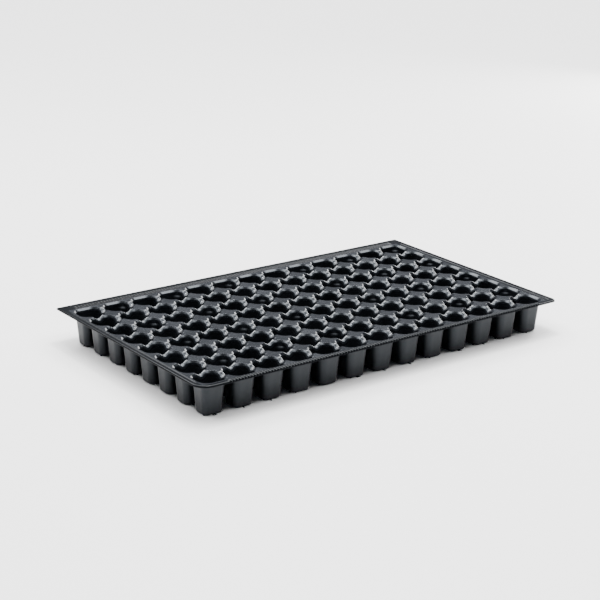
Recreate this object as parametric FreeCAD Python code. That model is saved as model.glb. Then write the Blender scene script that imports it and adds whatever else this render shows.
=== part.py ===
import FreeCAD, Part
import os, math
from FreeCAD import Vector as V

# Plug tray: one thermoformed sheet of black polystyrene with 13 x 8 cells.
# The real tray is a single moulding, so every node below is a named region of
# that moulding (the walls of a cell row, the deck islands, a rim strip).  The
# rounded cells are built as eight-sided ones from flat panels of sheet that
# meet at mitres, so each panel is one closed convex solid.  Millimetres, +X
# along the tray, +Z up, origin under the centre of the tray on the surface
# that the cells stand on.

os.makedirs("parts", exist_ok=True)

# ---------------------------------------------------------------- driving sizes
TRAY_L = 540.0          # overall length (X)
TRAY_W = 320.0          # overall width (Y)
H_DECK = 40.0           # top of the deck above the cell bases
NX, NY = 13, 8          # cells along X and Y
PX, PY = 40.0, 37.0     # cell pitch along X and Y
RIM_LEFT = 7.0          # rim outside the last half-pitch line, -X side
RIM_FRONT = 6.0         # the same, -Y side (the rest falls to +X and +Y)

T_DECK = 0.8            # sheet thickness of deck, rim and mouth
T_CUP = 0.35            # wall of a cell
T_BASE = 0.35           # base of a cell at its drain hole
HEEL = 1.1              # the base thickens to this where it rounds up into the wall

OPEN_X, OPEN_Y, OPEN_R = 36.0, 33.0, 12.5    # cell mouth, clear opening
BODY_X, BODY_Y, BODY_R = 30.6, 28.0, 8.2     # outside of the cell under its lip
BASE_X, BASE_Y, BASE_R = 24.8, 22.6, 6.0     # outside of the cell at its base
Z_LIP = 34.2            # height where the lip begins to flare
SADDLE_DIP = 3.0        # how far the web dips between two neighbouring cells
SADDLE_HX = 4.0         # half length of a dip in a web that runs along Y
SADDLE_HY = 5.5         # half length of a dip in a web that runs along X
DRAIN = 7.4             # drain hole in each base, side of the square

LUG_W = 4.4             # stacking lug: width of the pillar in a cell's corner
LUG_IN = 2.0            # how far it stands in from the corner
LUG_LOW = 2.0           # height of its foot
LUG_TOP = 33.4          # height of its top
LUG_I = (1, 3, 5, 8, 10, 12)     # columns whose cells have lugs
LUG_J = (1, 3, 5, 7)             # rows whose cells have lugs

LIP_DROP = 2.2          # turned-down edge of the rim, below the deck top
R_FL, R_FR, R_B = 18.0, 8.0, 2.0  # rim corner radii: front left, front right, back
RIB_H = 0.5             # height of the grip ribs above the deck
RIB_W = 2.0             # width of one rib
RIB_PITCH = 4.0         # spacing of the ribs
RIB_BACK_LEN = 9.5      # length of a rib across the back rim
RIB_FRONT_LEN = 5.6     # length of a rib across the front rim
BEAD_W, BEAD_H = 1.2, 0.5         # raised border line on the two end rims

# ---------------------------------------------------------------- derived sizes
X0, X1 = -TRAY_L / 2, TRAY_L / 2
Y0, Y1 = -TRAY_W / 2, TRAY_W / 2
GX0 = X0 + RIM_LEFT                  # half-pitch line before the first column
GY0 = Y0 + RIM_FRONT                 # half-pitch line before the first row
GX1 = GX0 + NX * PX
GY1 = GY0 + NY * PY
Z_SAD = H_DECK - SADDLE_DIP          # top of the dips
Z_SAD0 = Z_SAD - T_DECK              # underside of the dips, top of the cell lips
Z_RIM0 = H_DECK - T_DECK             # underside of the deck and the rim
K = 2.0 - math.sqrt(2.0)             # chamfer that touches an arc of radius 1 at 45 degrees


def cx(i):
    return GX0 + (i + 0.5) * PX


def cy(j):
    return GY0 + (j + 0.5) * PY


# ---------------------------------------------------------------- solids from points
def flat(points):
    return Part.Face(Part.makePolygon(points + [points[0]]))


def hull(low, high):
    """Closed solid between two polygons with the same number of corners."""
    n = len(low)
    faces = [flat(low), flat(high)]
    for k in range(n):
        m = (k + 1) % n
        faces.append(flat([low[k], low[m], high[m], high[k]]))
    s = Part.Solid(Part.Shell(faces))
    if s.Volume < 0:
        s.reverse()
    return s


def slab(poly, za, zb):
    """Upright prism over a list of (x, y) corners."""
    return hull([V(x, y, za) for x, y in poly], [V(x, y, zb) for x, y in poly])


def box(xa, xb, ya, yb, za, zb):
    return Part.makeBox(xb - xa, yb - ya, zb - za, V(xa, ya, za))


def moved(s, x, y):
    c = s.copy()
    c.translate(V(x, y, 0))
    return c


def save(node, solids):
    shape = solids[0] if len(solids) == 1 else Part.makeCompound(solids)
    vol = sum(s.Volume for s in solids)
    bad = sum(0 if s.isValid() and s.isClosed() and s.Volume > 0 else 1 for s in solids)
    shape.exportStep("parts/%s.step" % node)
    b = shape.BoundBox
    print("%-24s solids %3d  cm3 %8.3f  bad %d  z %.2f..%.2f" % (node, len(solids), vol / 1000, bad, b.ZMin, b.ZMax))
    return vol


# ---------------------------------------------------------------- one cell
def octagon(w, d, c):
    """Corners of a w by d rectangle with 45 degree chamfers of leg c."""
    a, b = w / 2.0, d / 2.0
    return [(a, -b + c), (a, b - c), (a - c, b), (-a + c, b), (-a, b - c), (-a, -b + c), (-a + c, -b), (a - c, -b)]


def ring(w, d, r, inset):
    """Octagon of a rounded rectangle (radius r), offset inwards by inset."""
    return octagon(w - 2 * inset, d - 2 * inset, K * r - K * inset)


def wall_size(z):
    """Outside width, depth and corner radius of the tapered wall at height z."""
    t = z / Z_LIP
    return (BASE_X + (BODY_X - BASE_X) * t, BASE_Y + (BODY_Y - BASE_Y) * t, BASE_R + (BODY_R - BASE_R) * t)


def at(poly, z):
    return [V(x, y, z) for x, y in poly]


def panels(out0, in0, z0, out1, in1, z1):
    """Eight panels of sheet, one on each side, between two heights."""
    res = []
    for k in range(8):
        m = (k + 1) % 8
        res.append(hull(at([out0[k], out0[m], in0[m], in0[k]], z0), at([out1[k], out1[m], in1[m], in1[k]], z1)))
    return res


foot = ring(BASE_X, BASE_Y, BASE_R, 0.0)
heel = ring(*wall_size(HEEL), 0.0)
h = DRAIN / 2.0


def base_plate(k):
    """Quarter of a cell's base: thin at the square drain hole, it rises to the
    heel line in a slope, and meets the next plate at a mitre from the hole's
    corner to the middle of the chamfered corner."""
    hole = [(h, -h), (h, h), (-h, h), (-h, -h)]
    low, top = [], []
    for q, m in ((k, (2 * k + 7) % 8), ((k + 1) % 4, (2 * k + 1) % 8)):
        n = (m + 1) % 8
        x, y = (foot[m][0] + foot[n][0]) / 2, (foot[m][1] + foot[n][1]) / 2
        u, v = hole[q]
        e = abs(heel[m][0]) + abs(heel[m][1])            # |x| + |y| along the heel's chamfer
        t = (e - 2 * h) / (abs(x) + abs(y) - 2 * h)
        low.append((x, y))
        top.append((u + (x - u) * t, v + (y - v) * t))
    p, q = hole[k], hole[(k + 1) % 4]
    under = [p, low[0], foot[2 * k], foot[2 * k + 1], low[1], q]
    over = [p, top[0], heel[2 * k], heel[2 * k + 1], top[1], q]
    lo = [V(x, y, 0.0) for x, y in under]
    up = [V(x, y, T_BASE if n in (0, 5) else HEEL) for n, (x, y) in enumerate(over)]
    faces = [flat(lo), flat(up[1:5]), flat([up[0], up[1], up[4], up[5]])]
    for n in range(6):
        m = (n + 1) % 6
        faces.append(flat([lo[n], lo[m], up[m], up[n]]))
    s = Part.Solid(Part.Shell(faces))
    if s.Volume < 0:
        s.reverse()
    return s


base = [base_plate(k) for k in range(4)]

w_lo, w_hi = wall_size(HEEL), wall_size(Z_LIP)
wall = panels(ring(*w_lo, 0.0), ring(*w_lo, T_CUP), HEEL, ring(*w_hi, 0.0), ring(*w_hi, T_CUP), Z_LIP)

mouth = ring(OPEN_X, OPEN_Y, OPEN_R, 0.0)
mouth_out = ring(OPEN_X, OPEN_Y, OPEN_R, -T_DECK)
lip = panels(ring(*w_hi, 0.0), ring(*w_hi, T_CUP), Z_LIP, mouth_out, mouth, Z_SAD0)

# collars: the upright wall of the mouth between lip and deck.  Panel 0 faces +X,
# then the numbers run anticlockwise, so the odd panels are the chamfered corners.
collar = panels(mouth_out, mouth, Z_SAD0, mouth_out, mouth, Z_RIM0)


def lug(sx, sy):
    """Pillar on the inner face of one corner panel, from LUG_LOW to LUG_TOP."""
    low, high = [], []
    for z, res in ((LUG_LOW, low), (LUG_TOP, high)):
        w, d, r = wall_size(z)
        a, b, c = w / 2 - T_CUP, d / 2 - T_CUP, K * (r - T_CUP)
        mx, my = a - c / 2, b - c / 2            # middle of the chamfer's inner face
        k = math.sqrt(0.5)
        h = LUG_W / 2
        for u, v in ((h, 0), (-h, 0), (-h, LUG_IN), (h, LUG_IN)):
            res.append(V(sx * (mx + (u - v) * k), sy * (my - (u + v) * k), z))
    return hull(low, high)


lugs = [lug(sx, sy) for sx in (1, -1) for sy in (1, -1)]

vol = 0.0
for j in range(NY):
    for name, proto in (("cell_bases", base), ("cell_walls", wall), ("cell_lips", lip)):
        vol += save("%s_row_%d" % (name, j + 1), [moved(s, cx(i), cy(j)) for i in range(NX) for s in proto])
    if j in LUG_J:
        vol += save("stacking_lugs_row_%d" % (j + 1), [moved(s, cx(i), cy(j)) for i in LUG_I for s in lugs])

vol += save("corner_collars", [moved(collar[k], cx(i), cy(j)) for j in range(NY) for i in range(NX) for k in (1, 3, 5, 7)])
outer = []
for i in range(NX):
    outer += [moved(collar[6], cx(i), cy(0)), moved(collar[2], cx(i), cy(NY - 1))]
for j in range(NY):
    outer += [moved(collar[4], cx(0), cy(j)), moved(collar[0], cx(NX - 1), cy(j))]
vol += save("border_collars", outer)

# ---------------------------------------------------------------- deck islands
# Where four cells meet the deck is an island: a flat plate at deck height on the
# corner collars, with a sloping arm down each web to the dip between two cells.
GAP_X, GAP_Y = (PX - OPEN_X) / 2, (PY - OPEN_Y) / 2     # half width of the webs
CH = K * OPEN_R
ISL_X = GAP_X + CH          # reach of an island along X
ISL_Y = GAP_Y + CH          # reach of an island along Y
island = slab([(ISL_X, -GAP_Y), (ISL_X, GAP_Y), (GAP_X, ISL_Y), (-GAP_X, ISL_Y),
               (-ISL_X, GAP_Y), (-ISL_X, -GAP_Y), (-GAP_X, -ISL_Y), (GAP_X, -ISL_Y)], Z_RIM0, H_DECK)
vol += save("deck_islands", [moved(island, GX0 + i * PX, GY0 + j * PY) for i in range(1, NX) for j in range(1, NY)])


def arm(dx, dy):
    """Wedge from the end of an island down to the dip, in direction (dx, dy)."""
    s0, s1, g = (ISL_X, PX / 2 - SADDLE_HY, GAP_Y) if dx else (ISL_Y, PY / 2 - SADDLE_HX, GAP_X)
    side = []
    for e in (-g, g):
        side.append([V(dx * s + abs(dy) * e, dy * s + abs(dx) * e, z)
                     for s, z in ((s0, Z_SAD0), (s1, Z_SAD0), (s1, Z_SAD), (s0, H_DECK))])
    return hull(side[0], side[1])


east, west, north, south = arm(1, 0), arm(-1, 0), arm(0, 1), arm(0, -1)
arms_x = [moved(east, GX0 + i * PX, GY0 + j * PY) for i in range(0, NX) for j in range(1, NY)]
arms_x += [moved(west, GX0 + i * PX, GY0 + j * PY) for i in range(1, NX + 1) for j in range(1, NY)]
arms_y = [moved(north, GX0 + i * PX, GY0 + j * PY) for i in range(1, NX) for j in range(0, NY)]
arms_y += [moved(south, GX0 + i * PX, GY0 + j * PY) for i in range(1, NX) for j in range(1, NY + 1)]
vol += save("island_arms_along_x", arms_x)
vol += save("island_arms_along_y", arms_y)

# dips: the low bridges of sheet between two neighbouring cells
vol += save("dips_between_columns", [
    box(GX0 + i * PX - GAP_X, GX0 + i * PX + GAP_X, cy(j) - SADDLE_HX, cy(j) + SADDLE_HX, Z_SAD0, Z_SAD)
    for i in range(1, NX) for j in range(NY)])
vol += save("dips_between_rows", [
    box(cx(i) - SADDLE_HY, cx(i) + SADDLE_HY, GY0 + j * PY - GAP_Y, GY0 + j * PY + GAP_Y, Z_SAD0, Z_SAD)
    for i in range(NX) for j in range(1, NY)])

# half islands along the border, between the mouths of two outer cells
bf = slab([(-ISL_X, GAP_Y), (ISL_X, GAP_Y), (GAP_X, ISL_Y), (-GAP_X, ISL_Y)], Z_RIM0, H_DECK)
bb = slab([(-ISL_X, -GAP_Y), (-GAP_X, -ISL_Y), (GAP_X, -ISL_Y), (ISL_X, -GAP_Y)], Z_RIM0, H_DECK)
bl = slab([(GAP_X, -ISL_Y), (ISL_X, -GAP_Y), (ISL_X, GAP_Y), (GAP_X, ISL_Y)], Z_RIM0, H_DECK)
br = slab([(-GAP_X, -ISL_Y), (-GAP_X, ISL_Y), (-ISL_X, GAP_Y), (-ISL_X, -GAP_Y)], Z_RIM0, H_DECK)
vol += save("border_islands_front", [moved(bf, GX0 + i * PX, GY0) for i in range(1, NX)])
vol += save("border_islands_back", [moved(bb, GX0 + i * PX, GY1) for i in range(1, NX)])
vol += save("border_islands_left", [moved(bl, GX0, GY0 + j * PY) for j in range(1, NY)])
vol += save("border_islands_right", [moved(br, GX1, GY0 + j * PY) for j in range(1, NY)])

# ---------------------------------------------------------------- rim
MX0, MX1 = GX0 + GAP_X, GX1 - GAP_X      # outer edges of the outermost mouths
MY0, MY1 = GY0 + GAP_Y, GY1 - GAP_Y
CORNERS = ((X0, Y0, 1, 1, 180, R_FL, 6), (X1, Y0, -1, 1, 270, R_FR, 6),
           (X1, Y1, -1, -1, 0, R_B, 3), (X0, Y1, 1, -1, 90, R_B, 3))


def outline(inset):
    """Corners of the tray's outline, offset inwards, anticlockwise from front left."""
    pts = []
    for x, y, sx, sy, a0, r, n in CORNERS:
        for k in range(n + 1):
            a = math.radians(a0 + 90.0 * k / n)
            pts.append((x + sx * r + (r - inset) * math.cos(a), y + sy * r + (r - inset) * math.sin(a)))
    return pts


def clip(poly, nx, ny, d):
    """The part of a polygon where nx*x + ny*y <= d."""
    res = []
    for k, p in enumerate(poly):
        q = poly[(k + 1) % len(poly)]
        a, b = nx * p[0] + ny * p[1] - d, nx * q[0] + ny * q[1] - d
        if a <= 1e-9:
            res.append(p)
        if (a < -1e-9 and b > 1e-9) or (a > 1e-9 and b < -1e-9):
            t = a / (a - b)
            res.append((p[0] + (q[0] - p[0]) * t, p[1] + (q[1] - p[1]) * t))
    tidy = []
    for p in res:
        if not tidy or math.hypot(p[0] - tidy[-1][0], p[1] - tidy[-1][1]) > 1e-6:
            tidy.append(p)
    if math.hypot(tidy[0][0] - tidy[-1][0], tidy[0][1] - tidy[-1][1]) < 1e-6:
        tidy.pop()
    return tidy


def plate(*planes):
    """Deck-thick plate: the outline cut by half planes (nx, ny, d)."""
    poly = outline(T_DECK)
    for nx, ny, d in planes:
        poly = clip(poly, nx, ny, d)
    return slab(poly, Z_RIM0, H_DECK)


XA, XB = MX0 + CH, MX1 - CH              # the outermost mouths' chamfers end here
YA, YB = MY0 + CH, MY1 - CH
RIB_Y0 = MY1 + 1.6                       # start of the back ribs
RIB_Y1 = RIB_Y0 + RIB_BACK_LEN           # line between the ribbed and the smooth part
vol += save("rim_front", [plate((0, 1, MY0), (-1, 0, -XA), (1, 0, XB))])
vol += save("rim_left", [plate((1, 0, MX0), (0, -1, -YA), (0, 1, YB))])
vol += save("rim_right", [plate((-1, 0, -MX1), (0, -1, -YA), (0, 1, YB))])
vol += save("rim_back_ribbed", [plate((0, -1, -MY1), (0, 1, RIB_Y1), (-1, 0, -XA), (1, 0, XB))])
vol += save("rim_back_smooth", [plate((0, -1, -RIB_Y1), (-1, 0, -XA), (1, 0, XB))])
vol += save("rim_corner_front_left", [plate((1, 0, XA), (0, 1, YA), (1, 1, MX0 + YA))])
vol += save("rim_corner_front_right", [plate((-1, 0, -XB), (0, 1, YA), (-1, 1, -MX1 + YA))])
vol += save("rim_corner_back_left", [plate((1, 0, XA), (0, -1, -YB), (1, -1, MX0 - YB))])
vol += save("rim_corner_back_right", [plate((-1, 0, -XB), (0, -1, -YB), (-1, -1, -MX1 - YB))])

# turned-down edge all round: four straight lengths and short facets at the corners
ZL0 = H_DECK - LIP_DROP
po, pi = outline(0.0), outline(T_DECK)
ends = {6: "front", 13: "right", 17: "back", 21: "left"}
facets = []
for k in range(len(po)):
    m = (k + 1) % len(po)
    s = slab([po[k], po[m], pi[m], pi[k]], ZL0, H_DECK)
    if k in ends:
        vol += save("turned_edge_%s" % ends[k], [s])
    else:
        facets.append(s)
vol += save("turned_edge_corners", facets)


# ---------------------------------------------------------------- grip ribs
def ribs(xa, xb, ya, yb):
    out = []
    n = int((xb - xa) / RIB_PITCH)
    off = (xb - xa - (n - 1) * RIB_PITCH) / 2
    w, c = RIB_W / 2, 0.35
    for k in range(n):
        xc = xa + off + k * RIB_PITCH
        prof = [(xc - w, H_DECK), (xc + w, H_DECK), (xc + w - c, H_DECK + RIB_H), (xc - w + c, H_DECK + RIB_H)]
        out.append(hull([V(x, ya, z) for x, z in prof], [V(x, yb, z) for x, z in prof]))
    return out


vol += save("ribs_back", ribs(cx(0) - 8, cx(NX - 1) + 12, RIB_Y0, RIB_Y1))
vol += save("ribs_front", ribs(cx(0) + 12, cx(NX - 1) + 4, Y0 + 1.0, Y0 + 1.0 + RIB_FRONT_LEN))

# raised border line on the two end rims
vol += save("border_bead_left", [box(MX0 - 3.4, MX0 - 3.4 + BEAD_W, MY0 + 7, MY1 - 5, H_DECK, H_DECK + BEAD_H)])
vol += save("border_bead_right", [box(MX1 + 5.6, MX1 + 5.6 + BEAD_W, MY0 + 3, MY1 - 5, H_DECK, H_DECK + BEAD_H)])

print("total volume cm3 %.2f   mass at 1.05 g/cm3: %.0f g" % (vol / 1000, vol / 1000 * 1.05))
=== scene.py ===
import math

import bpy
import numpy as np
from mathutils import Matrix, Vector


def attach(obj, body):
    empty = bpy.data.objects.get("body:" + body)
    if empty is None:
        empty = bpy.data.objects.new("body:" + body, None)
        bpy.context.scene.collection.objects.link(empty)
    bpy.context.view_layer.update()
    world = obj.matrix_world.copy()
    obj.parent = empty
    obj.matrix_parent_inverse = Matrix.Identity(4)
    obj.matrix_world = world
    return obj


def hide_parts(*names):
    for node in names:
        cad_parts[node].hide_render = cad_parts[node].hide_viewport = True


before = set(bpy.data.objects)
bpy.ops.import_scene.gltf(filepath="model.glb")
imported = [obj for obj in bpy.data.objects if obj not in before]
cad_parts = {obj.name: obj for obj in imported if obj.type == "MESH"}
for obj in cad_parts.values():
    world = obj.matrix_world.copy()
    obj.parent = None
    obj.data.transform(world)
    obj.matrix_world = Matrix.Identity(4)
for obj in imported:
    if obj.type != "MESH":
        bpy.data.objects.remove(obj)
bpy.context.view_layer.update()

# ------------------------------------------------------------------ sizes (mm)
L, W, H = 540.0, 320.0, 40.0
NX, NY, PX, PY = 13, 8, 40.0, 37.0
X0, X1, Y0, Y1 = -L / 2, L / 2, -W / 2, W / 2
GX0, GY0 = X0 + 7.0, Y0 + 6.0
GX1, GY1 = GX0 + NX * PX, GY0 + NY * PY
MOUTH = (37.0, 34.0, 12.9)        # where the sheet starts to turn down into a cell
BODY = (30.8, 28.2, 8.2)          # outside of the cell just under its lip
BASE = (25.0, 22.8, 6.6)          # outside of the cell at its base
Z_LIP = 34.0
T_DECK, T_CUP = 0.8, 0.45
DIP_X, DIP_Y = 3.1, 3.1           # depth of the saddles between columns, rows
LUG_I, LUG_J = (1, 3, 5, 8, 10, 12), (1, 3, 5, 7)
R_FL, R_FR, R_B = 18.0, 8.0, 2.0
SINK = 3.2                        # how much further down the wall the saddles round over
N_SIDE = 16                       # samples along one side of a cell
rng = np.random.default_rng(7)


def smooth(a, b, x):
    t = np.clip((x - a) / (b - a), 0.0, 1.0)
    return t * t * (3 - 2 * t)


# ------------------------------------------------------------------ one cell's sampling
HALF = N_SIDE // 2
S = np.arange(HALF + 1) / HALF                    # 0 in the middle of a side, 1 at its corner
S = 0.62 * S + 0.38 * S ** 2.2


def rr_point(hx, hy, r, g):
    """Point on a rounded rectangle, from the middle of its +X side (g=0) to the middle of its corner (g=1)."""
    straight = hy - r
    total = straight + r * math.pi / 4
    s = g * total
    y1 = np.minimum(s, straight)
    a = np.maximum(s - straight, 0.0) / max(r, 1e-6)
    return hx - r + r * np.cos(a), y1 + r * np.sin(a)


def loop(size, kind="mouth"):
    """Anticlockwise ring of points on a rounded rectangle (w, d, r), 4*N_SIDE of them, from the -Y end of the +X side."""
    w, d, r = size
    hx, hy = w / 2, d / 2

    def part(hx, hy, ref):
        if kind == "tile":
            return np.full_like(S, hx), hy * S
        c = ref / ((MOUTH[1 if ref == PY / 2 else 0] / 2 - MOUTH[2]) + MOUTH[2] * math.pi / 4)
        g = c * S + (1 - c) * S ** 2
        return rr_point(hx, hy, r, g)

    ex, ey = part(hx, hy, PY / 2)                 # east side, from its middle up to the corner
    ny_, nx_ = part(hy, hx, PX / 2)               # north side, from its middle out to the corner
    east = np.stack([ex, ey], 1)
    north = np.stack([nx_, ny_], 1)
    q1 = np.concatenate([east, north[::-1][1:]])  # middle of east .. middle of north
    q2 = (q1 * [-1, 1])[::-1]
    q3 = -q1
    q4 = (q1 * [1, -1])[::-1]
    ring = np.concatenate([q1, q2[1:], q3[1:], q4[1:-1]])
    return ring


TILE = loop((PX, PY, 0.01), "tile")
NA = len(TILE)
side = np.zeros(NA, int)                          # 0 east, 1 north, 2 west, 3 south
idx = np.arange(NA)
side[(idx > HALF) & (idx < 3 * HALF)] = 1
side[(idx >= 3 * HALF) & (idx <= 5 * HALF)] = 2
side[(idx > 5 * HALF) & (idx < 7 * HALF)] = 3
corner_at = np.array([HALF, 3 * HALF, 5 * HALF, 7 * HALF])


def dip(xy, sides, open_sides):
    """Depth of the saddle at points of the deck, by the side of the cell they lie on."""
    x, y = xy[:, 0], xy[:, 1]
    out = np.zeros(len(xy))
    for s in range(4):
        if s in open_sides:
            continue
        m = sides == s
        if s in (0, 2):
            u = np.abs(y[m]) / 6.6
            out[m] = DIP_X * (1 - smooth(0.10, 1.0, u))
        else:
            u = np.abs(x[m]) / 7.6
            out[m] = DIP_Y * (1 - smooth(0.10, 1.0, u))
    return out


def wall(z):
    t = z / Z_LIP
    return tuple(BASE[k] + (BODY[k] - BASE[k]) * t for k in range(3))


def inset(size, t):
    return (size[0] - 2 * t, size[1] - 2 * t, max(size[2] - t, 0.3))


def lug_push(ring, z, top=33.3, deep=2.1):
    """Push the corners of a wall ring inwards, which makes the stacking lugs."""
    if z > top + 0.9:
        return ring
    k = deep * float(1 - smooth(top - 2.2, top + 0.9, z)) * float(smooth(0.4, 4.0, z))
    out = ring.copy()
    for c in corner_at:
        p = ring[c]
        d = np.hypot(*(ring - p).T)
        b = np.where(d < 4.4, np.sqrt(np.clip(1 - (d / 4.4) ** 2, 0, 1)), 0.0)
        b = np.minimum(b * 1.25, 1.0)
        n = -p / np.hypot(*p)
        out += (k * b)[:, None] * n
    return out


# profile under an island: a tight edge, a funnel at about 50 degrees, then the wall
FUNNEL = ((0.02, 0.004), (0.06, 0.024), (0.25, 0.128), (0.45, 0.236), (0.62, 0.33), (0.78, 0.42), (0.92, 0.60), (1.0, 1.0))


def cell_rings(open_sides, lugged, wob):
    """Top skin and under skin of one cell tile as lists of (NA, 3) rings."""
    def lift(xy, dz=0.0):
        z = H - dip(xy, side, open_sides) - dz
        return np.column_stack([xy, z])

    mouth = loop(MOUTH)
    drop = dip(mouth, side, open_sides)
    soft = np.clip(drop / 3.0, 0.0, 1.0) ** 0.6
    mouth = mouth + (TILE - mouth) * (0.85 * soft)[:, None]
    z_in = Z_LIP - SINK * soft                    # the saddles round over further down the wall
    top = [lift(TILE)]
    for f in (0.4, 0.8, 0.96):
        top.append(lift(TILE + (mouth - TILE) * f))
    tip = lift(mouth)
    top.append(tip)

    def wall_at(zz, t):
        """Points of the inner wall, each at its own height."""
        lo, hi = loop(inset(wall(20.0), t)), loop(inset(wall(Z_LIP), t))
        k = (zz - 20.0) / (Z_LIP - 20.0)
        return lo + (hi - lo) * k[:, None]

    inner = wall_at(z_in, T_CUP)
    # the lip turns tightly at the islands and gently at the dips
    for step in range(1, 9):
        th = math.radians(step * 11.25)
        s, c = math.sin(th), 1 - math.cos(th)
        fx, fz = FUNNEL[step - 1]
        kx = soft * s + (1 - soft) * fx
        kz = soft * c + (1 - soft) * fz
        xy = mouth + (inner - mouth) * kx[:, None]
        z = tip[:, 2] - (tip[:, 2] - z_in) * kz
        top.append(np.column_stack([xy, z]))
    n_deck = len(top)
    for z in (33.6, 33.0, 32.3, 31.4, 29.5, 24.0, 17.0, 9.0, 4.0, 1.9):
        r = loop(inset(wall(z), T_CUP))
        if lugged:
            r = lug_push(r, z)
        zz = z - SINK * soft * smooth(24.0, Z_LIP, z)
        r = r + (wall_at(zz, T_CUP) - wall_at(np.full(NA, z), T_CUP))
        top.append(np.column_stack([r + wob * (1 - z / 40), zz]))
    for z, t in ((1.05, 0.75), (0.62, 1.3), (0.5, 2.2)):
        r = loop(inset(wall(z), T_CUP + t - 0.3))
        top.append(np.column_stack([r + wob, np.full(NA, z)]))
    a = np.arctan2(TILE[:, 1] / PY, TILE[:, 0] / PX)
    hole = np.column_stack([np.cos(a), np.sin(a)])
    floor_ring = loop(inset(wall(0.5), 2.2))
    top.append(np.column_stack([(floor_ring + hole * 4.2) / 2 + wob, np.full(NA, 0.48)]))
    rag = 4.1 + 0.12 * np.sin(a * 5 + wob[0] * 40) + 0.18 * np.sin(a * 11 + wob[1] * 60)
    top.append(np.column_stack([hole * rag[:, None] + wob, np.full(NA, 0.42)]))

    under = [lift(TILE, T_DECK)]
    m2 = loop((MOUTH[0] + 1.1, MOUTH[1] + 1.1, MOUTH[2] + 0.5))
    m2 = m2 + (TILE - m2) * (0.8 * soft)[:, None]
    under.append(lift(TILE + (m2 - TILE) * 0.5, T_DECK))
    tip2 = lift(m2, T_DECK)
    under.append(tip2)
    outer = wall_at(z_in, 0.0)
    for th in (20, 45, 70, 90):
        s, c = math.sin(math.radians(th)), 1 - math.cos(math.radians(th))
        xy = m2 + (outer - m2) * s
        z = tip2[:, 2] - (tip2[:, 2] - z_in) * c
        under.append(np.column_stack([xy, z]))
    n_under = len(under)
    for z in (33.6, 33.0, 32.3, 31.4, 29.5, 24.0, 17.0, 9.0, 4.0, 1.7):
        r = loop(wall(z))
        if lugged:
            r = lug_push(r, z)
        zz = z - SINK * soft * smooth(24.0, Z_LIP, z)
        r = r + (wall_at(zz, 0.0) - wall_at(np.full(NA, z), 0.0))
        under.append(np.column_stack([r + wob * (1 - z / 40), zz]))
    for z, t in ((0.75, 0.12), (0.28, 0.42), (0.06, 0.85), (0.0, 1.5)):
        r = loop(inset(wall(z), t))
        under.append(np.column_stack([r + wob, np.full(NA, z)]))
    under.append(np.column_stack([(loop(inset(wall(0.0), 1.5)) + hole * 4.3) / 2 + wob, np.full(NA, 0.0)]))
    under.append(np.column_stack([hole * rag[:, None] + wob, np.full(NA, 0.0)]))
    return top, under, n_deck, n_under


# ------------------------------------------------------------------ collect geometry
V, F, G = [], [], []                 # vertices, quads, group name of each quad
count = 0


def add_grid(rings, group_of, flip, closed=True):
    """Join rings of equal length into quads; group_of(k) names the strip between rings k and k+1."""
    global count
    n = len(rings[0])
    V.append(np.concatenate(rings))
    i = np.arange(n if closed else n - 1)
    j = (i + 1) % n
    for k in range(len(rings) - 1):
        a, b = count + k * n, count + (k + 1) * n
        q = np.stack([a + i, a + j, b + j, b + i], 1)
        if flip:
            q = q[:, ::-1]
        F.append(q)
        G.extend([group_of(k)] * len(q))
    count += n * len(rings)


for j in range(NY):
    for i in range(NX):
        sides_open = set()
        if i == 0:
            sides_open.add(2)
        if i == NX - 1:
            sides_open.add(0)
        if j == 0:
            sides_open.add(3)
        if j == NY - 1:
            sides_open.add(1)
        wob = rng.normal(0, 0.13, 2)
        top, under, nd, nu = cell_rings(sides_open, i in LUG_I and j in LUG_J, wob)
        c = np.array([GX0 + (i + 0.5) * PX, GY0 + (j + 0.5) * PY, 0.0])
        row = "cells_row_%d" % (j + 1)
        deck = "deck_front_rows" if j < NY // 2 else "deck_back_rows"
        add_grid([r + c for r in top], lambda k, nd=nd: deck if k < nd - 1 else row, False)
        add_grid([r + c for r in under], lambda k, nu=nu: deck if k < nu - 1 else row, True)
        # wall of the drain hole
        add_grid([top[-1] + c, under[-1] + c], lambda k: row, False)

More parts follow.
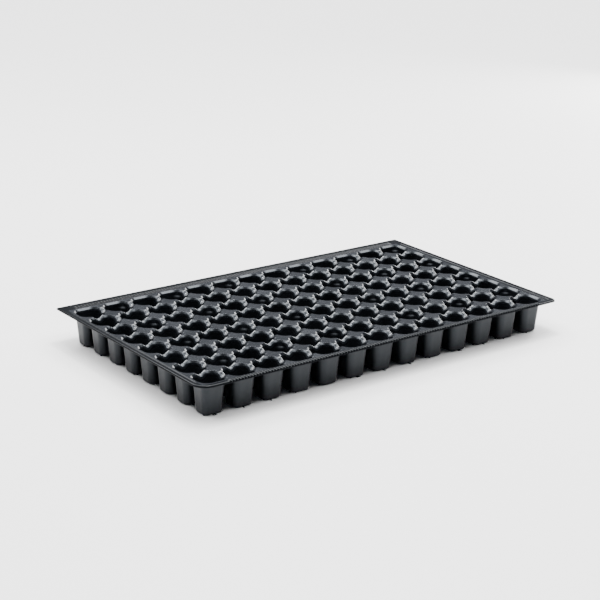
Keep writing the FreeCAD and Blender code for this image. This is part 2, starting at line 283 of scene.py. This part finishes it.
# ------------------------------------------------------------------ rim
corner_def = ((X0, Y0, 1, 1, 180, R_FL, 14), (X1, Y0, -1, 1, 270, R_FR, 10),
              (X1, Y1, -1, -1, 0, R_B, 6), (X0, Y1, 1, -1, 90, R_B, 6))
FR = {  # distances across the flat of each rim, as fractions
    "front": [0, .06, .14, .26, .4, .54, .68, .78, .86, .92, .96, 1],
    "right": [0, .15, .29, .33, .35, .37, .39, .42, .46, .6, .8, 1],
    "back": [0, .02, .055, .15, .3, .45, .53, .57, .61, .7, .85, 1],
    "left": [0, .04, .08, .12, .16, .2, .24, .28, .4, .6, .8, 1],
}
ORDER = ("front", "right", "back", "left")
FLAT = 1.9                            # inset where the rounded outer edge begins
rim_pts = []                          # (kind, outline point, outward normal, corner blend)
for n, (x, y, sx, sy, a0, r, m) in enumerate(corner_def):
    for k in range(m + 1):
        a = math.radians(a0 + 90.0 * k / m)
        rim_pts.append((ORDER[n - 1], ORDER[n], k / m, (x + sx * r, y + sy * r), r, (math.cos(a), math.sin(a))))
    nx_def = corner_def[(n + 1) % 4]
    p0 = (x + sx * r + r * math.cos(math.radians(a0 + 90)), y + sy * r + r * math.sin(math.radians(a0 + 90)))
    p1 = (nx_def[0] + nx_def[2] * nx_def[5] + nx_def[5] * math.cos(math.radians(nx_def[4])),
          nx_def[1] + nx_def[3] * nx_def[5] + nx_def[5] * math.sin(math.radians(nx_def[4])))
    length = math.hypot(p1[0] - p0[0], p1[1] - p0[1])
    step = 0.5 if ORDER[n] in ("front", "back") else 6.0
    cnt = int(length / step)
    a = math.radians(a0 + 90)
    for k in range(1, cnt):
        t = k / cnt
        q = (p0[0] + (p1[0] - p0[0]) * t, p0[1] + (p1[1] - p0[1]) * t)
        rim_pts.append((ORDER[n], ORDER[n], 1.0, q, 0.0, (math.cos(a), math.sin(a))))


def rib(x):
    c = 0.5 + 0.5 * np.cos(2 * math.pi * (x - X0) / 4.0)
    return c ** 1.3


RIB = 1.35                            # height of a rib from its valley


def front_ribs(x):
    """Where along the front rim the ribs are: 1 on them, 0 beyond their ends."""
    return float(smooth(GX0 + 30, GX0 + 34, x) * (1 - smooth(GX1 - 20, GX1 - 16, x)))


def rim_column(rec, top_side):
    """Points of the rim's cross-section at one outline sample, from the cells outwards."""
    ka, kb, t, c, r, nrm = rec
    nrm = np.array(nrm)
    c = np.array(c)

    def at(ins):
        return c + nrm * max(r - ins, 0.15) if r > 0 else c - nrm * ins

    edge = at(FLAT)
    root = np.array([min(max(edge[0], GX0), GX1), min(max(edge[1], GY0), GY1)])
    fr = (1 - t) * np.array(FR[ka]) + t * np.array(FR[kb])
    pts = []
    if top_side:
        for f in fr:
            p = root + (edge - root) * f
            z = H
            if r == 0.0:
                d = math.hypot(*(p - root))
                if ka == "front":
                    env = smooth(0.1, 0.7, d) * front_ribs(p[0])
                    z += RIB * (rib(p[0]) - 0.25) * env
                elif ka == "back":
                    env = smooth(0.2, 1.0, d) * (1 - smooth(8.7, 9.6, d)) * smooth(GX0 + 10, GX0 + 13, p[0]) * (1 - smooth(GX1 - 10, GX1 - 6, p[0]))
                    z += RIB * (rib(p[0]) - 0.25) * env
                elif ka == "left":
                    z += 0.55 * max(0.0, 1 - ((d - 0.85) / 0.75) ** 2) * smooth(GY0 + 8, GY0 + 14, p[1]) * (1 - smooth(GY1 - 10, GY1 - 4, p[1]))
                elif ka == "right":
                    z += 0.55 * max(0.0, 1 - ((d - 4.2) / 0.75) ** 2) * smooth(GY0 + 4, GY0 + 9, p[1]) * (1 - smooth(GY1 - 10, GY1 - 4, p[1]))
            pts.append((p[0], p[1], z))
        wave = front_ribs(c[0]) * (rib(c[0]) - 0.25) if ka == "front" and r == 0.0 else 0.0
        for ins, z, k in ((1.2, 39.93, 1.0), (0.7, 39.72, 0.9), (0.33, 39.35, 0.7), (0.1, 38.85, 0.45),
                          (0.0, 38.35, 0.2), (0.0, 37.95, 0.0), (0.15, 37.8, 0.0)):
            p = at(ins + 0.3 * k * max(-wave, 0.0) + 0.25 * k * (1 - wave) * (wave != 0.0))
            pts.append((p[0], p[1], z + RIB * wave * k))
        return pts
    for f in (0, 0.5, 1):
        p = root + (at(FLAT) - root) * f
        pts.append((p[0], p[1], H - T_DECK))
    for ins, z in ((1.5, 39.13), (1.05, 38.85), (0.85, 38.45), (0.75, 38.0), (0.55, 37.8)):
        p = at(ins)
        pts.append((p[0], p[1], z))
    return pts


cols = [np.array(rim_column(r, True)) for r in rim_pts]
cols2 = [np.array(rim_column(r, False)) for r in rim_pts]
kinds = [r[1] if r[0] == r[1] or r[2] >= 0.5 else r[0] for r in rim_pts]
for data, flip in ((cols, True), (cols2, False)):
    base = count
    n = len(data[0])
    V.append(np.concatenate(data))
    m = len(data)
    for s in range(m):
        e = (s + 1) % m
        k = np.arange(n - 1)
        q = np.stack([base + s * n + k, base + s * n + k + 1, base + e * n + k + 1, base + e * n + k], 1)
        if not flip:
            q = q[:, ::-1]
        F.append(q)
        G.extend(["rim_" + kinds[s]] * len(q))
    count += n * m
# close the lower edge of the rim
lo_a = np.array([c[-1] for c in cols])
lo_b = np.array([c[-1] for c in cols2])
base = count
V.append(np.concatenate([lo_a, lo_b]))
m = len(lo_a)
s = np.arange(m)
e = (s + 1) % m
F.append(np.stack([base + s, base + m + s, base + m + e, base + e], 1))
G.extend(["rim_" + kinds[k] for k in s])
count += 2 * m

V = np.concatenate(V)
F = np.concatenate(F)
G = np.array(G)

# ------------------------------------------------------------------ smooth normals over the whole skin
key = np.round(V * 200).astype(np.int64)
_, first, inv = np.unique(key, axis=0, return_index=True, return_inverse=True)
inv = inv.reshape(-1)
Fm = inv[F]
P = V[first]
d1 = P[Fm[:, 2]] - P[Fm[:, 0]]
d2 = P[Fm[:, 3]] - P[Fm[:, 1]]
fn = np.cross(d1, d2)
vn = np.zeros_like(P)
for k in range(4):
    np.add.at(vn, Fm[:, k], fn)
ln = np.linalg.norm(vn, axis=1)
vn /= np.maximum(ln, 1e-12)[:, None]


# ------------------------------------------------------------------ objects
def make_object(name, verts_mm, quads, normals=None):
    used, local = np.unique(quads, return_inverse=True)
    local = local.reshape(quads.shape)
    me = bpy.data.meshes.new(name)
    faces = []
    for q in local.tolist():
        u = []
        for v in q:
            if v not in u:
                u.append(v)
        if len(u) >= 3:
            faces.append(u)
    me.from_pydata((verts_mm[used] / 1000.0).tolist(), [], faces)
    me.update()
    me.shade_smooth()
    if normals is not None:
        me.normals_split_custom_set_from_vertices([tuple(n) for n in normals[used].tolist()])
    ob = bpy.data.objects.new(name, me)
    bpy.context.scene.collection.objects.link(ob)
    return ob


groups = sorted(set(G.tolist()))
pieces = {}
for g in groups:
    pieces[g] = make_object("skin_" + g, P, Fm[G == g], vn)


# ------------------------------------------------------------------ materials
def plastic(name, color_a, color_b, rough_a, rough_b, bump, specular):
    mat = bpy.data.materials.new(name)
    mat.use_nodes = True
    nt = mat.node_tree
    nt.nodes.clear()
    out = nt.nodes.new("ShaderNodeOutputMaterial")
    bs = nt.nodes.new("ShaderNodeBsdfPrincipled")
    tc = nt.nodes.new("ShaderNodeTexCoord")
    big = nt.nodes.new("ShaderNodeTexNoise")
    big.inputs["Scale"].default_value = 22.0
    big.inputs["Detail"].default_value = 3.0
    fine = nt.nodes.new("ShaderNodeTexNoise")
    fine.inputs["Scale"].default_value = 420.0
    fine.inputs["Detail"].default_value = 4.0
    ramp = nt.nodes.new("ShaderNodeValToRGB")
    ramp.color_ramp.elements[0].position = 0.32
    ramp.color_ramp.elements[0].color = (*color_a, 1)
    ramp.color_ramp.elements[1].position = 0.7
    ramp.color_ramp.elements[1].color = (*color_b, 1)
    mr = nt.nodes.new("ShaderNodeMapRange")
    mr.inputs["From Min"].default_value = 0.3
    mr.inputs["From Max"].default_value = 0.7
    mr.inputs["To Min"].default_value = rough_a
    mr.inputs["To Max"].default_value = rough_b
    bp = nt.nodes.new("ShaderNodeBump")
    bp.inputs["Strength"].default_value = bump
    bp.inputs["Distance"].default_value = 0.0004
    nt.links.new(tc.outputs["Object"], big.inputs["Vector"])
    nt.links.new(tc.outputs["Object"], fine.inputs["Vector"])
    nt.links.new(big.outputs["Fac"], ramp.inputs["Fac"])
    nt.links.new(big.outputs["Fac"], mr.inputs["Value"])
    nt.links.new(fine.outputs["Fac"], bp.inputs["Height"])
    nt.links.new(ramp.outputs["Color"], bs.inputs["Base Color"])
    nt.links.new(mr.outputs["Result"], bs.inputs["Roughness"])
    nt.links.new(bp.outputs["Normal"], bs.inputs["Normal"])
    nt.links.new(bs.outputs["BSDF"], out.inputs["Surface"])
    bs.inputs["IOR"].default_value = 1.55
    bs.inputs["Specular IOR Level"].default_value = specular
    bs.inputs["Specular Tint"].default_value = (0.86, 0.93, 1.0, 1.0)
    return mat


MAT_DECK = plastic("black_sheet_deck", (0.004, 0.0048, 0.006), (0.0075, 0.0085, 0.0105), 0.14, 0.21, 0.08, 0.34)
# the rim is the same black sheet as the deck, given a darker colour and much weaker reflection here: painted shade on
# the rim
MAT_RIM_PAINTED_SHADE = plastic("black_sheet_rim_painted_shade", (0.0025, 0.003, 0.0038), (0.0048, 0.0053, 0.0062), 0.12, 0.18, 0.10, 0.05)
MAT_CELL = plastic("black_sheet_cells", (0.004, 0.0048, 0.006), (0.008, 0.0092, 0.0115), 0.34, 0.46, 0.2, 0.24)

nodes = set(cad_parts)


def cover(piece, material, names):
    piece.data.materials.append(material)
    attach(piece, "root")
    here = [n for n in names if n in nodes]
    if here:
        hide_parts(*here)


for j in range(1, NY + 1):
    cover(pieces["cells_row_%d" % j], MAT_CELL,
          ["cell_bases_row_%d" % j, "cell_walls_row_%d" % j, "stacking_lugs_row_%d" % j])
cover(pieces["deck_front_rows"], MAT_DECK,
      ["cell_lips_row_%d" % j for j in range(1, 5)] +
      ["corner_collars", "deck_islands", "island_arms_along_x", "dips_between_columns",
       "border_islands_front", "border_islands_left"])
cover(pieces["deck_back_rows"], MAT_DECK,
      ["cell_lips_row_%d" % j for j in range(5, NY + 1)] +
      ["border_collars", "island_arms_along_y", "dips_between_rows",
       "border_islands_back", "border_islands_right"])
cover(pieces["rim_front"], MAT_RIM_PAINTED_SHADE, ["rim_front", "rim_corner_front_left", "turned_edge_front", "turned_edge_corners", "ribs_front"])
cover(pieces["rim_right"], MAT_RIM_PAINTED_SHADE, ["rim_right", "rim_corner_front_right", "turned_edge_right", "border_bead_right"])
cover(pieces["rim_back"], MAT_RIM_PAINTED_SHADE, ["rim_back_ribbed", "rim_back_smooth", "rim_corner_back_right", "turned_edge_back", "ribs_back"])
cover(pieces["rim_left"], MAT_RIM_PAINTED_SHADE, ["rim_left", "rim_corner_back_left", "turned_edge_left", "border_bead_left"])

# ------------------------------------------------------------------ ragged shreds left by the punch
SV, SF = [], []
for j in range(NY):
    for i in range(NX):
        c = np.array([GX0 + (i + 0.5) * PX, GY0 + (j + 0.5) * PY])
        for _ in range(int(rng.integers(1, 4))):
            ang = rng.uniform(0, 2 * math.pi)
            if j == 0 or i == 0:
                ang = math.radians(rng.uniform(195, 300))
            d = np.array([math.cos(ang), math.sin(ang)])
            s = np.array([-d[1], d[0]])
            reach = rng.uniform(11.8, 13.6)
            w0, w1 = rng.uniform(1.6, 2.4), rng.uniform(1.1, 2.0)
            bend = rng.uniform(-2.0, 2.0)
            th = 0.42
            n0 = len(SV)
            K = 7
            for k in range(K):
                t = k / (K - 1)
                p = c + d * (3.9 + (reach - 3.9) * t) + s * bend * t * t
                w = (w0 + (w1 - w0) * t) * (1.0 + 0.25 * math.sin(9 * t + ang * 5)) / 2
                z = -0.35 * math.sin(min(t * 3, 1.0) * math.pi / 2) - 0.32 * t + 0.18 * math.sin(6 * t + ang)
                z = max(min(z, -0.05), -0.75)
                for e, dz in ((-w, 0), (w, 0), (w, -th), (-w, -th)):
                    q = p + s * e
                    SV.append((q[0], q[1], z + dz))
            for k in range(K - 1):
                a, b = n0 + 4 * k, n0 + 4 * k + 4
                for e in range(4):
                    f = (e + 1) % 4
                    SF.append((a + e, a + f, b + f, b + e))
            SF.append((n0 + 3, n0 + 2, n0 + 1, n0))
            b = n0 + 4 * (K - 1)
            SF.append((b, b + 1, b + 2, b + 3))
me = bpy.data.meshes.new("drain_shreds")
me.from_pydata([(x / 1000, y / 1000, z / 1000) for x, y, z in SV], [], SF)
me.update()
shreds = bpy.data.objects.new("drain_shreds", me)
bpy.context.scene.collection.objects.link(shreds)
cover(shreds, MAT_CELL, [])

# ------------------------------------------------------------------ floor, light, camera
FLOOR_Z = -0.0011
me = bpy.data.meshes.new("floor")
fs = 9.0
me.from_pydata([(-fs, -fs, FLOOR_Z), (fs, -fs, FLOOR_Z), (fs, fs, FLOOR_Z), (-fs, fs, FLOOR_Z)], [], [(0, 1, 2, 3)])
floor = bpy.data.objects.new("floor", me)
bpy.context.scene.collection.objects.link(floor)
fm = bpy.data.materials.new("pale_floor")
fm.use_nodes = True
nt = fm.node_tree
bs = nt.nodes["Principled BSDF"]
noise = nt.nodes.new("ShaderNodeTexNoise")
noise.inputs["Scale"].default_value = 1.3
noise.inputs["Detail"].default_value = 2.0
rp = nt.nodes.new("ShaderNodeValToRGB")
rp.color_ramp.elements[0].color = (0.80, 0.79, 0.775, 1)
rp.color_ramp.elements[1].color = (0.84, 0.83, 0.82, 1)
tc = nt.nodes.new("ShaderNodeTexCoord")
nt.links.new(tc.outputs["Object"], noise.inputs["Vector"])
nt.links.new(noise.outputs["Fac"], rp.inputs["Fac"])
nt.links.new(rp.outputs["Color"], bs.inputs["Base Color"])
bs.inputs["Roughness"].default_value = 0.55
bs.inputs["Specular IOR Level"].default_value = 0.3
me.materials.append(fm)

world = bpy.data.worlds.new("studio")
bpy.context.scene.world = world
world.use_nodes = True
wt = world.node_tree
bg = wt.nodes["Background"]
wc = wt.nodes.new("ShaderNodeTexCoord")


def glow(toward, stops):
    """Light of the room as a soft cap around one direction; stops are (cosine, colour)."""
    dot = wt.nodes.new("ShaderNodeVectorMath")
    dot.operation = "DOT_PRODUCT"
    dot.inputs[1].default_value = Vector(toward).normalized()
    wt.links.new(wc.outputs["Generated"], dot.inputs[0])
    ramp = wt.nodes.new("ShaderNodeValToRGB")
    el = ramp.color_ramp.elements
    el[0].position, el[0].color = stops[0][0], (*stops[0][1], 1)
    el[1].position, el[1].color = stops[-1][0], (*stops[-1][1], 1)
    for pos, c in stops[1:-1]:
        e = el.new(pos)
        e.color = (*c, 1)
    wt.links.new(dot.outputs["Value"], ramp.inputs["Fac"])
    return ramp.outputs["Color"]


overhead = glow((0.16, 0.20, 0.96), [(0.70, (0.0, 0.0, 0.0)), (0.76, (0.96, 0.97, 0.98)), (0.84, (0.96, 0.97, 0.98)), (0.875, (0.10, 0.10, 0.103)), (0.95, (0.10, 0.10, 0.103)), (0.975, (0.96, 0.97, 0.98))])
shade = glow((0.50, 0.66, 0.55), [(0.14, (0.03, 0.03, 0.03)), (0.40, (1.0, 1.0, 1.0))])
backdrop = glow((0.10, 0.93, 0.36), [(0.0, (0.0030, 0.0033, 0.0040)), (0.45, (0.0160, 0.0168, 0.0187)), (0.85, (0.0210, 0.0219, 0.0243))])
both = wt.nodes.new("ShaderNodeVectorMath")
both.operation = "ADD"
cut = wt.nodes.new("ShaderNodeVectorMath")
cut.operation = "MULTIPLY"
wt.links.new(overhead, cut.inputs[0])
wt.links.new(shade, cut.inputs[1])
wt.links.new(cut.outputs["Vector"], both.inputs[0])
wt.links.new(backdrop, both.inputs[1])
wt.links.new(both.outputs["Vector"], bg.inputs["Color"])
bg.inputs["Strength"].default_value = 16.0


def area(name, loc, target, size, power, color=(1, 1, 1)):
    lt = bpy.data.lights.new(name, "AREA")
    lt.shape = "RECTANGLE"
    lt.size, lt.size_y = size
    lt.energy = power
    lt.color = color
    ob = bpy.data.objects.new(name, lt)
    ob.location = loc
    ob.rotation_euler = (Vector(target) - Vector(loc)).to_track_quat("-Z", "Y").to_euler()
    bpy.context.scene.collection.objects.link(ob)
    return ob


area("lamp_top", (0.36, 0.43, 1.50), (0, 0, 0), (0.24, 0.24), 20)
area("softbox_right", (1.68, 0.75, 0.50), (0, 0, 0.02), (0.5, 0.8), 13)
area("softbox_left", (-0.66, 1.50, 1.15), (0, 0, 0.02), (0.8, 0.5), 7)

# camera, fitted to the view: azimuth from -Y towards -X, elevation, small roll
az, el, roll, dist, focal = -37.17, 18.72, 1.2, 2.01729, 1609.9
aim = np.array([GX0 + 6.5 * PX + 1.72, GY0 + 4 * PY + 27.2, H - 1.0]) / 1000
A, E, R = (math.radians(v) for v in (az, el, roll))
back = np.array([math.sin(A) * math.cos(E), -math.cos(A) * math.cos(E), math.sin(E)])
f = -back
r = np.cross(f, [0, 0, 1]); r /= np.linalg.norm(r)
u = np.cross(r, f)
r2 = math.cos(R) * r + math.sin(R) * u
u2 = -math.sin(R) * r + math.cos(R) * u
cam_data = bpy.data.cameras.new("camera")
cam_data.sensor_width = 36.0
cam_data.lens = focal / 600 * 36.0
cam_data.clip_end = 60
cam = bpy.data.objects.new("camera", cam_data)
loc = aim + back * dist
cam.matrix_world = Matrix(((r2[0], u2[0], back[0], loc[0]), (r2[1], u2[1], back[1], loc[1]),
                           (r2[2], u2[2], back[2], loc[2]), (0, 0, 0, 1)))
bpy.context.scene.collection.objects.link(cam)
bpy.context.scene.camera = cam
